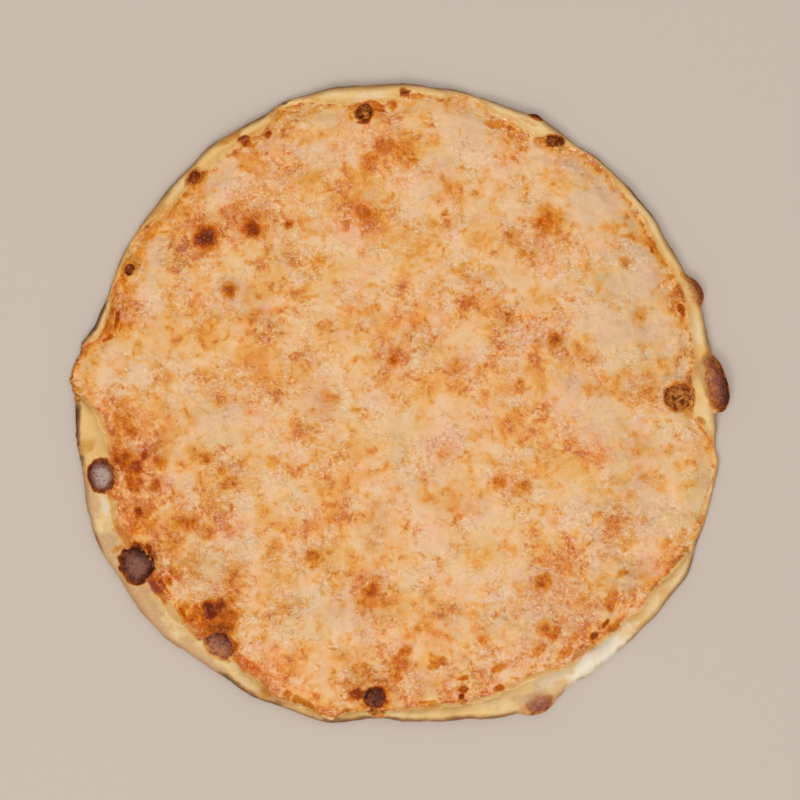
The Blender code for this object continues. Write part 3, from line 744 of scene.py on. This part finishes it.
def melt_cheese(dough_tree):
    """One sheet of melted cheese, draped over the sauce and up the rim's inner slope."""
    cheese = add_disc("melted_cheese", 4 * CHEESE_CELLS, "NOTHING")
    with editing(cheese):
        bpy.ops.mesh.fill_grid(span=CHEESE_CELLS)
    lip_ring(cheese, 3)
    flat = points_of(cheese)
    round_r, angle = polar(flat)
    share = round_r / ROUND_R
    step = -np.round(flat[:, 2] * MM)
    ragged = ragged_edge(angle, (6, 2.4, 1.2), (13.0, 17.0, 18.0))
    edge = radius_at(CHEESE_RING, angle) + ragged
    radius = spread_to(share, angle, CHEESE_RING, ragged)
    below = [step == 1, step == 2, step == 3]
    radius += np.select(below, [0.2, 0.1, -7.0], 0.0)
    x, y = radius * np.cos(angle), radius * np.sin(angle)
    ground = drop_on(dough_tree, x, y, BASE_THICK)
    inset = edge - radius
    thick = cheese_top(x, y) - ground
    taper = 0.05 + 0.95 * np.clip(inset / 10, 0, 1) ** 0.9
    lip = [ground + 0.1, ground - 0.3, BASE_THICK + 1.0]
    height = np.select(below, lip, ground + thick * taper)
    move_points(cheese, np.stack([x, y, height], 1))
    upper = (step == 0).astype(float)
    weigh(cheese, "upper", upper)
    weigh(cheese, "open", upper * (0.15 + 0.85 * smooth_step(inset / 8)))
    work(cheese, "SMOOTH", factor=0.5, iterations=10, use_x=False, use_y=False, vertex_group="upper")
    ruffle(cheese, 24, 2.4, "open", "Z")
    ruffle(cheese, 7, 1.5, "open", "Z", depth=1)
    ruffle(cheese, 2.6, 0.5, "open", "Z", depth=1)
    bubble_up(cheese, upper)
    points = points_of(cheese)
    move_points(cheese, np.where(upper[:, None] > 0, parted(points, ground), points))
    paint_cheese(cheese)
    serve(cheese, "cheese", cheese_finish())


def cheese_top(x, y):
    """Height of the solid cheese's upper side, carried across the openings round blisters."""
    tree = solid_tree(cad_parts["cheese"].data)
    top = drop_on(tree, x, y)
    for i in np.nonzero(np.isnan(top))[0]:
        nearest = tree.find_nearest(Vector((x[i], y[i], CHEESE_HIGH)))[0]
        top[i] = nearest.z
    return top


def bubble_up(cheese, upper):
    """Swells the browned bubbles, raises burst rings, and laps the cheese up the blisters."""
    points = points_of(cheese)
    crumb = lumps(points, 1.7, 41.0)
    for x, y, size, heat in BROWNED:
        if heat > BUBBLE_HEAT:
            bulge = upper * np.exp(-1.2 * dab(points, x, y, size) ** 2)
            points[:, 2] += bulge * (heat / 100 - 0.35) * (1.7 + 0.6 * crumb)
    for blister in BLISTERS:
        lap = upper * smooth_step((1.75 - rim_reach(points, *blister[:5])) / 0.75)
        points[:, 2] += 1.5 * lap
    for x, y, size in RINGS:
        ring = upper * np.exp(-((dab(points, x, y, size) - 1) / 0.28) ** 2)
        points[:, 2] += 0.7 * ring
    move_points(cheese, points)


def paint_cheese(cheese):
    """Marks where the cheese is browned or has another look, and its thin edge."""
    points = points_of(cheese)
    radius, angle = polar(points)
    warp = 0.45 * lumps(points, 7.0, 51.0) + 0.36 * lumps(points, 3.0, 53.0)
    warp += 0.25 * lumps(points, 1.5, 55.0)
    dark, *_, halo = burnt(points)
    marks = round_dabs(points, BROWNED, 0.85 * warp, 0.85), rim_dabs(points, RIM_BROWNED, 0.8 * warp)
    edge_marks = 0.8 * scorched(points, 0.3 * warp)
    paint(cheese, "toasted", np.maximum.reduce([*marks, edge_marks, halo, dark]))
    # The pale zones hold pale pools and a painted sheen of reflected light
    zones = {"rosy": ROSY, "pale_and_sheen": PALE_AND_SHEEN, "golden": GOLDEN, "dull": DULL, "grey": GREY}
    for name, zone in zones.items():
        dabs = [(*place, percent) for percent, places in zone.items() for place in places]
        paint(cheese, name, round_dabs(points, dabs, warp * 2))
    inset = radius_at(CHEESE_RING, angle) - radius
    paint(cheese, "edge", 1 - smooth_step(inset / 5.0 + 0.7 * warp))


# --- Finishes ------------------------------------------------------------------------------


def dye(red, green, blue):
    """A colour as it shows on a screen, turned into the linear values that shaders use."""
    shown = np.array((red, green, blue)) / 255
    linear = np.where(shown <= 0.04045, shown / 12.92, ((shown + 0.055) / 1.055) ** 2.4)
    return (*linear.tolist(), 1.0)


class Recipe:
    """A material and the few kinds of node that the finishes are mixed from."""

    def __init__(self, name):
        self.material = bpy.data.materials.new(name)
        self.material.use_nodes = True
        self.tree = self.material.node_tree
        self.shader = self.tree.nodes["Principled BSDF"]
        self.place = self.add("ShaderNodeTexCoord").outputs["Object"]

    def plug(self, node, inputs):
        """Sets a node's inputs to plain values, or links them where the value is an output."""
        for name, value in inputs.items():
            if isinstance(value, bpy.types.NodeSocket):
                self.tree.links.new(value, node.inputs[name])
            else:
                node.inputs[name].default_value = value

    def add(self, kind, inputs=None, **settings):
        node = self.tree.nodes.new(kind)
        for name, value in settings.items():
            setattr(node, name, value)
        self.plug(node, inputs or {})
        return node

    def set(self, **inputs):
        """Sets the shader's own inputs."""
        self.plug(self.shader, {name.replace("_", " "): value for name, value in inputs.items()})

    def grain(self, size, detail=2.0, roughness=0.5, distortion=0.0, seed=0.0):
        """Noise with lumps of about size millimetres, another pattern for each seed."""
        spot = {"Vector": self.place, "Location": (seed, seed * 1.7, seed * 0.3)}
        lumpiness = {
            "Vector": self.add("ShaderNodeMapping", spot).outputs[0], "Scale": 1 / (size * MM),
            "Detail": detail, "Roughness": roughness, "Distortion": distortion,
        }
        return self.add("ShaderNodeTexNoise", lumpiness).outputs["Fac"]

    def painted(self, name):
        return self.add("ShaderNodeAttribute", attribute_name=name).outputs["Fac"]

    def band(self, value, low, high, top=1.0):
        """0 below low and top above high, eased between them."""
        ends = {"Value": value, "From Min": low, "From Max": high, "To Max": top}
        node = self.add("ShaderNodeMapRange", ends, interpolation_type="SMOOTHSTEP")
        return node.outputs["Result"]

    def combine(self, operation, first, second):
        return self.add("ShaderNodeMath", {0: first, 1: second}, operation=operation).outputs[0]

    def times(self, first, second):
        return self.combine("MULTIPLY", first, second)

    def plus(self, *values):
        total = values[0]
        for value in values[1:]:
            total = self.combine("ADD", total, value)
        return total

    def around(self, value, amount):
        """A noise as a push of up to half of amount up or down."""
        return self.times(self.plus(value, -0.5), amount)

    def stir(self, amount, under, over, blend="MIX"):
        """Covers one colour with another by an amount."""
        layers = {0: amount, 6: under, 7: over}
        settings = {"data_type": "RGBA", "clamp_factor": True, "blend_type": blend}
        return self.add("ShaderNodeMix", layers, **settings).outputs[2]

    def tone(self, amount, under, glass):
        """Tints a colour by an amount, as through a coloured glass."""
        return self.stir(amount, under, (*glass, 1.0), "MULTIPLY")

    def scale(self, value, stops):
        """Colours along a value, from stops of where each is, its red, green and blue."""
        node = self.add("ShaderNodeValToRGB", {"Fac": value})
        elements = node.color_ramp.elements
        while len(elements) < len(stops):
            elements.new(0.5)
        for element, (position, *shade) in zip(elements, stops):
            element.position, element.color = position, dye(*shade)
        return node.outputs["Color"]

    def emboss(self, height, depth, **under):
        """Fine relief of depth millimetres, over any coarser one that is given as Normal."""
        relief = {"Height": height, "Distance": depth * MM, **under}
        return self.add("ShaderNodeBump", relief).outputs["Normal"]


# The cheese from its palest to its most burnt
CHEESE_SHADES = (
    (0, 234, 200, 164), (0.15, 232, 190, 147), (0.3, 231, 181, 126), (0.42, 230, 169, 96),
    (0.52, 227, 154, 62), (0.62, 217, 133, 34), (0.7, 201, 109, 22), (0.8, 168, 79, 22),
    (0.9, 124, 54, 24), (1, 76, 34, 22),
)


def cheese_finish():
    """Melted cheese: smooth cream pools and crumbly pink curd, clouded with gold and toasted."""
    mix = Recipe("melted_cheese")
    names = ("toasted", "rosy", "pale_and_sheen", "golden", "dull", "grey", "edge")
    heat, rosy, pale_and_sheen, golden, dull, grey, edge = (mix.painted(name) for name in names)

    curd = mix.plus(mix.grain(15, 4, 0.6, 0.6, 47), mix.times(rosy, 0.1), mix.times(dull, 0.1))
    curd = mix.band(mix.plus(curd, mix.times(heat, 0.08), mix.times(pale_and_sheen, -0.06)), 0.45, 0.58)
    crumb = mix.grain(1.6, 2, 0.6, 0, 29)
    fringe = mix.times(edge, mix.band(mix.grain(7, 3, 0.6, 0.4, 67), 0.32, 0.58))
    clouds = mix.plus(
        0.325,
        mix.around(mix.grain(30, 2, 0.7, 0.4, 3), 1.05),
        mix.times(mix.around(mix.grain(6.5, 3, 0.65, 0.4, 23), 1.1), mix.plus(0.5, mix.times(curd, 0.5))),
        mix.band(mix.grain(12, 3, 0.6, 0.6, 7), 0.52, 0.66, 0.18),
        mix.band(mix.grain(5, 2, 0.6, 0.5, 9), 0.53, 0.7, 0.2),
        mix.times(mix.around(crumb, 1.0), mix.plus(0.1, mix.times(curd, 0.36))),
        # paler in pools and under the painted sheen
        mix.times(golden, 0.15), mix.times(rosy, 0.1), mix.times(pale_and_sheen, -0.18),
        mix.times(fringe, 0.34),
    )
    clouds = mix.combine("MINIMUM", clouds, mix.plus(0.5, mix.times(crumb, 0.36)))
    near = mix.band(heat, 0.0, 0.3)
    uneven = mix.plus(mix.around(mix.grain(4.5, 3, 0.65, 0.3, 33), 1.0), mix.around(crumb, 0.45))
    toasted = mix.plus(heat, mix.times(uneven, mix.times(near, mix.band(heat, 1.2, 0.3))))
    warmth = mix.combine("MAXIMUM", clouds, mix.plus(0.2, mix.times(toasted, 0.79)))
    colour = mix.scale(warmth, CHEESE_SHADES)

    tint = mix.plus(mix.around(mix.grain(24, 3, 0.65, 0.4, 11), 2.4), mix.times(golden, -0.2))
    patchy = mix.band(mix.grain(4, 4, 0.7, 0.3, 81), 0.3, 0.62)
    # Dark crumbs, and painted shade in the pits between the crumbs, mostly in the curd
    specks_and_pit_shade = mix.band(mix.grain(2.4, 2, 0.6, 0, 71), 0.53, 0.7)
    for amount, glass in (
        (mix.band(tint, 0.0, 0.6), (1.0, 0.84, 0.88)),
        (mix.band(tint, 0.04, -0.4), (0.98, 0.98, 0.8)),
        (mix.times(rosy, patchy), (1.0, 0.74, 0.7)),
        (mix.times(dull, patchy), (0.82, 0.7, 0.7)),
        (grey, (0.85, 0.92, 0.97)),
        (mix.band(mix.grain(26, 3, 0.6, 0.4, 61), 0.5, 0.72), (0.9, 0.89, 0.95)),
        (mix.times(specks_and_pit_shade, mix.plus(0.1, mix.times(curd, 0.7))), (0.84, 0.6, 0.5)),
    ):
        colour = mix.tone(amount, colour, glass)
    # Pale curd crumbs and painted glints: whitish flecks, mostly in the curd and fainter on toasted spots
    flecks_and_glints = mix.times(mix.band(mix.grain(1.5, 2, 0.5, 0, 17), 0.54, 0.68, 0.36), mix.plus(0.1, curd))
    flecks_and_glints = mix.times(flecks_and_glints, mix.plus(0.3, mix.band(heat, 0.6, 0.2, 0.7)))
    colour = mix.stir(flecks_and_glints, colour, dye(246, 218, 192))

    folds = mix.times(mix.around(mix.grain(2.4, 3, 0.6, 0, 31), 1.0), mix.plus(0.35, curd))
    normal = mix.emboss(folds, 0.9)
    mix.set(
        Base_Color=colour, Normal=normal, Coat_Normal=normal,
        Roughness=mix.plus(0.36, mix.around(mix.grain(5, 2, 0.5, 0, 41), 0.3)),
        Specular_IOR_Level=mix.band(heat, 0.7, 0.2, 0.15), Coat_Roughness=0.09,
        Coat_Weight=mix.times(mix.plus(0.16, mix.times(curd, 0.44)), mix.band(heat, 0.8, 0.1)),
        Subsurface_Weight=0.1, Subsurface_Radius=(1.0, 0.5, 0.25), Subsurface_Scale=1.2 * MM,
    )
    return mix.material


# The sauce from an oily stain to where it lies thick
SAUCE_SHADES = ((0, 228, 182, 110), (0.35, 223, 158, 70), (0.65, 205, 112, 28), (1, 158, 60, 14))


def sauce_finish():
    """Thin cooked tomato sauce: an oily golden stain, brick red where it lies thick."""
    mix = Recipe("tomato_sauce")
    thick = mix.plus(mix.painted("thick"), mix.around(mix.grain(5, 3, 0.6, 0.4), 1.0))
    colour = mix.scale(thick, SAUCE_SHADES)
    colour = mix.stir(mix.band(mix.grain(2.4, 3, 0.6), 0.5, 0.66, 0.3), colour, dye(190, 100, 40))
    normal = mix.emboss(mix.grain(1.6, 3), 0.3)
    mix.set(Base_Color=colour, Normal=normal, Roughness=0.36, Coat_Weight=0.25, Coat_Roughness=0.12)
    return mix.material


# Singed dough, the ash and painted lilac sheen on blisters, and charred dough from barely tanned to burnt
SINGED_SHADES = ((0, 196, 152, 98), (0.5, 158, 112, 66), (1, 88, 50, 24))
ASH_AND_SHEEN_SHADES = ((0, 144, 92, 80), (0.5, 156, 112, 102), (1, 178, 152, 140))
CHAR_SHADES = (
    (0, 230, 186, 120), (0.2, 210, 148, 70), (0.4, 180, 108, 46), (0.6, 142, 70, 28),
    (0.8, 98, 44, 20), (1, 54, 24, 16),
)


def dough_finish():
    """Baked dough: light gold, browned and darkened by painted shade towards its outer edge, with charred
    blisters, some under a painted sheen.
    """
    mix = Recipe("baked_dough")
    fine = mix.grain(0.9, 2, 0.7, 0, 15)
    colour = mix.stir(mix.band(mix.grain(16, 3), 0.36, 0.64), dye(231, 197, 140), dye(226, 182, 110))
    tan = mix.band(mix.grain(8, 3, 0.6, 0.4, 5), 0.5, 0.7, 0.5)
    colour = mix.stir(tan, colour, dye(222, 168, 98))
    oily = mix.times(mix.painted("oily"), mix.band(mix.grain(5, 3, 0.6, 0.4, 26), 0.3, 0.6, 0.7))
    colour = mix.stir(oily, colour, dye(226, 162, 76))
    # The browned foot of the edge, with painted shade that darkens it towards the outside
    browned_and_shaded_foot = mix.painted("browned_and_shaded_foot")
    patchy = mix.times(mix.around(mix.grain(9, 3, 0.6, 0, 9), 0.9), mix.band(browned_and_shaded_foot, 0.0, 0.3))
    colour = mix.stir(mix.plus(browned_and_shaded_foot, patchy), colour, dye(152, 98, 54))
    flour = mix.times(mix.painted("floury"), mix.band(mix.grain(6, 3, 0.6, 0, 25), 0.15, 0.5))
    colour = mix.stir(flour, colour, dye(234, 220, 196))
    dusty = mix.times(mix.painted("dusty"), mix.band(mix.grain(1.3, 3, 0.7, 0, 28), 0.14, 0.56, 0.86))
    colour = mix.stir(dusty, colour, dye(192, 147, 108))
    singed = mix.painted("singed")
    uneven = mix.around(mix.grain(2.2, 3, 0.6, 0, 19), 0.6)
    singed = mix.plus(singed, mix.times(uneven, mix.band(singed, 0.1, 0.4)))
    edge = mix.scale(singed, SINGED_SHADES)
    colour = mix.stir(mix.band(singed, 0.0, 0.45), colour, edge)

    pitted = mix.times(mix.painted("pits"), mix.band(mix.grain(2.2, 3, 0.6, 0.5, 13), 0.5, 0.6, 0.42))
    dark = mix.painted("dark")
    speckle = mix.around(mix.grain(1.5, 2, 0.7, 0, 35), 0.9)
    speckle = mix.plus(speckle, mix.around(mix.grain(4, 2, 0.5, 0, 14), 0.5))
    char = mix.plus(dark, pitted, mix.times(speckle, mix.band(dark, 0.1, 0.5)))
    colour = mix.stir(mix.band(char, 0.0, 0.3), colour, mix.scale(char, CHAR_SHADES))
    # Ash on the blisters, and a painted sheen from mauve to whitish lilac over their middles
    ash = mix.painted("ash")
    dusted = mix.times(ash, mix.band(mix.grain(1.4, 3, 0.7, 0, 16), 0.24, 0.54))
    colour = mix.stir(dusted, colour, mix.scale(ash, ASH_AND_SHEEN_SHADES))

    geometry = mix.add("ShaderNodeNewGeometry")
    facing = mix.add("ShaderNodeSeparateXYZ", {0: geometry.outputs["Normal"]})
    under = mix.band(mix.times(facing.outputs["Z"], -1.0), 0.6, 0.95)
    leopard = mix.band(mix.grain(11, 4, 0.6, 0.5, 33), 0.48, 0.66, 0.9)
    base = mix.stir(leopard, dye(214, 170, 116), dye(118, 76, 48))
    colour = mix.stir(under, colour, base)

    normal = mix.emboss(mix.grain(2.4, 3, 0.55, 0, 27), 0.14)
    normal = mix.emboss(fine, 0.08, Normal=normal)
    mix.set(
        Base_Color=colour, Normal=normal, Roughness=0.58,
        Specular_IOR_Level=mix.band(dark, 0.6, 0.1, 0.2),
    )
    return mix.material


def floor_finish():
    mix = Recipe("pale_floor")
    mix.set(Base_Color=dye(201, 187, 174), Roughness=0.8, Specular_IOR_Level=0.1)
    return mix.material


# --- Stage ---------------------------------------------------------------------------------

VIEW_WIDTH = 400.0
VIEW_MIDDLE_Y = 1.5
CAMERA_HEIGHT = 1200.0
CHEESE_LEVEL = 7.0
SENSOR = 36.0


def lay_floor():
    bpy.ops.object.select_all(action="DESELECT")
    bpy.ops.mesh.primitive_plane_add(size=6)
    floor = bpy.context.object
    floor.name = "floor"
    floor.data.materials.append(floor_finish())


def shine(name, kind, place, power, **settings):
    """A lamp at a place that faces the middle of the pizza."""
    lamp = bpy.data.lights.new(name, kind)
    lamp.energy = power
    for setting, value in settings.items():
        setattr(lamp, setting, value)
    holder = add_object(name, lamp, place)
    holder.rotation_euler = (-holder.location).to_track_quat("-Z", "Y").to_euler()


def light_room():
    shine("window", "SUN", (-0.25, -0.9, 2.2), 1.48, angle=math.radians(60))
    shine("far_window", "SUN", (0.3, 0.6, 2.2), 0.64, angle=math.radians(60))
    shine("lamp", "AREA", (-0.4, -0.7, 1.3), 2.4, size=0.07)
    world = bpy.data.worlds.new("room")
    world.use_nodes = True
    background = world.node_tree.nodes["Background"]
    background.inputs["Color"].default_value = (1, 0.99, 0.97, 1)
    background.inputs["Strength"].default_value = 0.29
    bpy.context.scene.world = world
    bpy.context.scene.view_settings.view_transform = "Standard"


def hang_camera():
    data = bpy.data.cameras.new("overhead")
    data.sensor_width = SENSOR
    data.lens = SENSOR * CAMERA_HEIGHT / VIEW_WIDTH
    place = (0, VIEW_MIDDLE_Y * MM, (CAMERA_HEIGHT + CHEESE_LEVEL) * MM)
    bpy.context.scene.camera = add_object("overhead", data, place)


def main():
    dough = bake_dough()
    dough_tree = solid_tree(dough.data)
    spread_sauce(dough_tree)
    melt_cheese(dough_tree)
    lay_floor()
    light_room()
    hang_camera()


main()
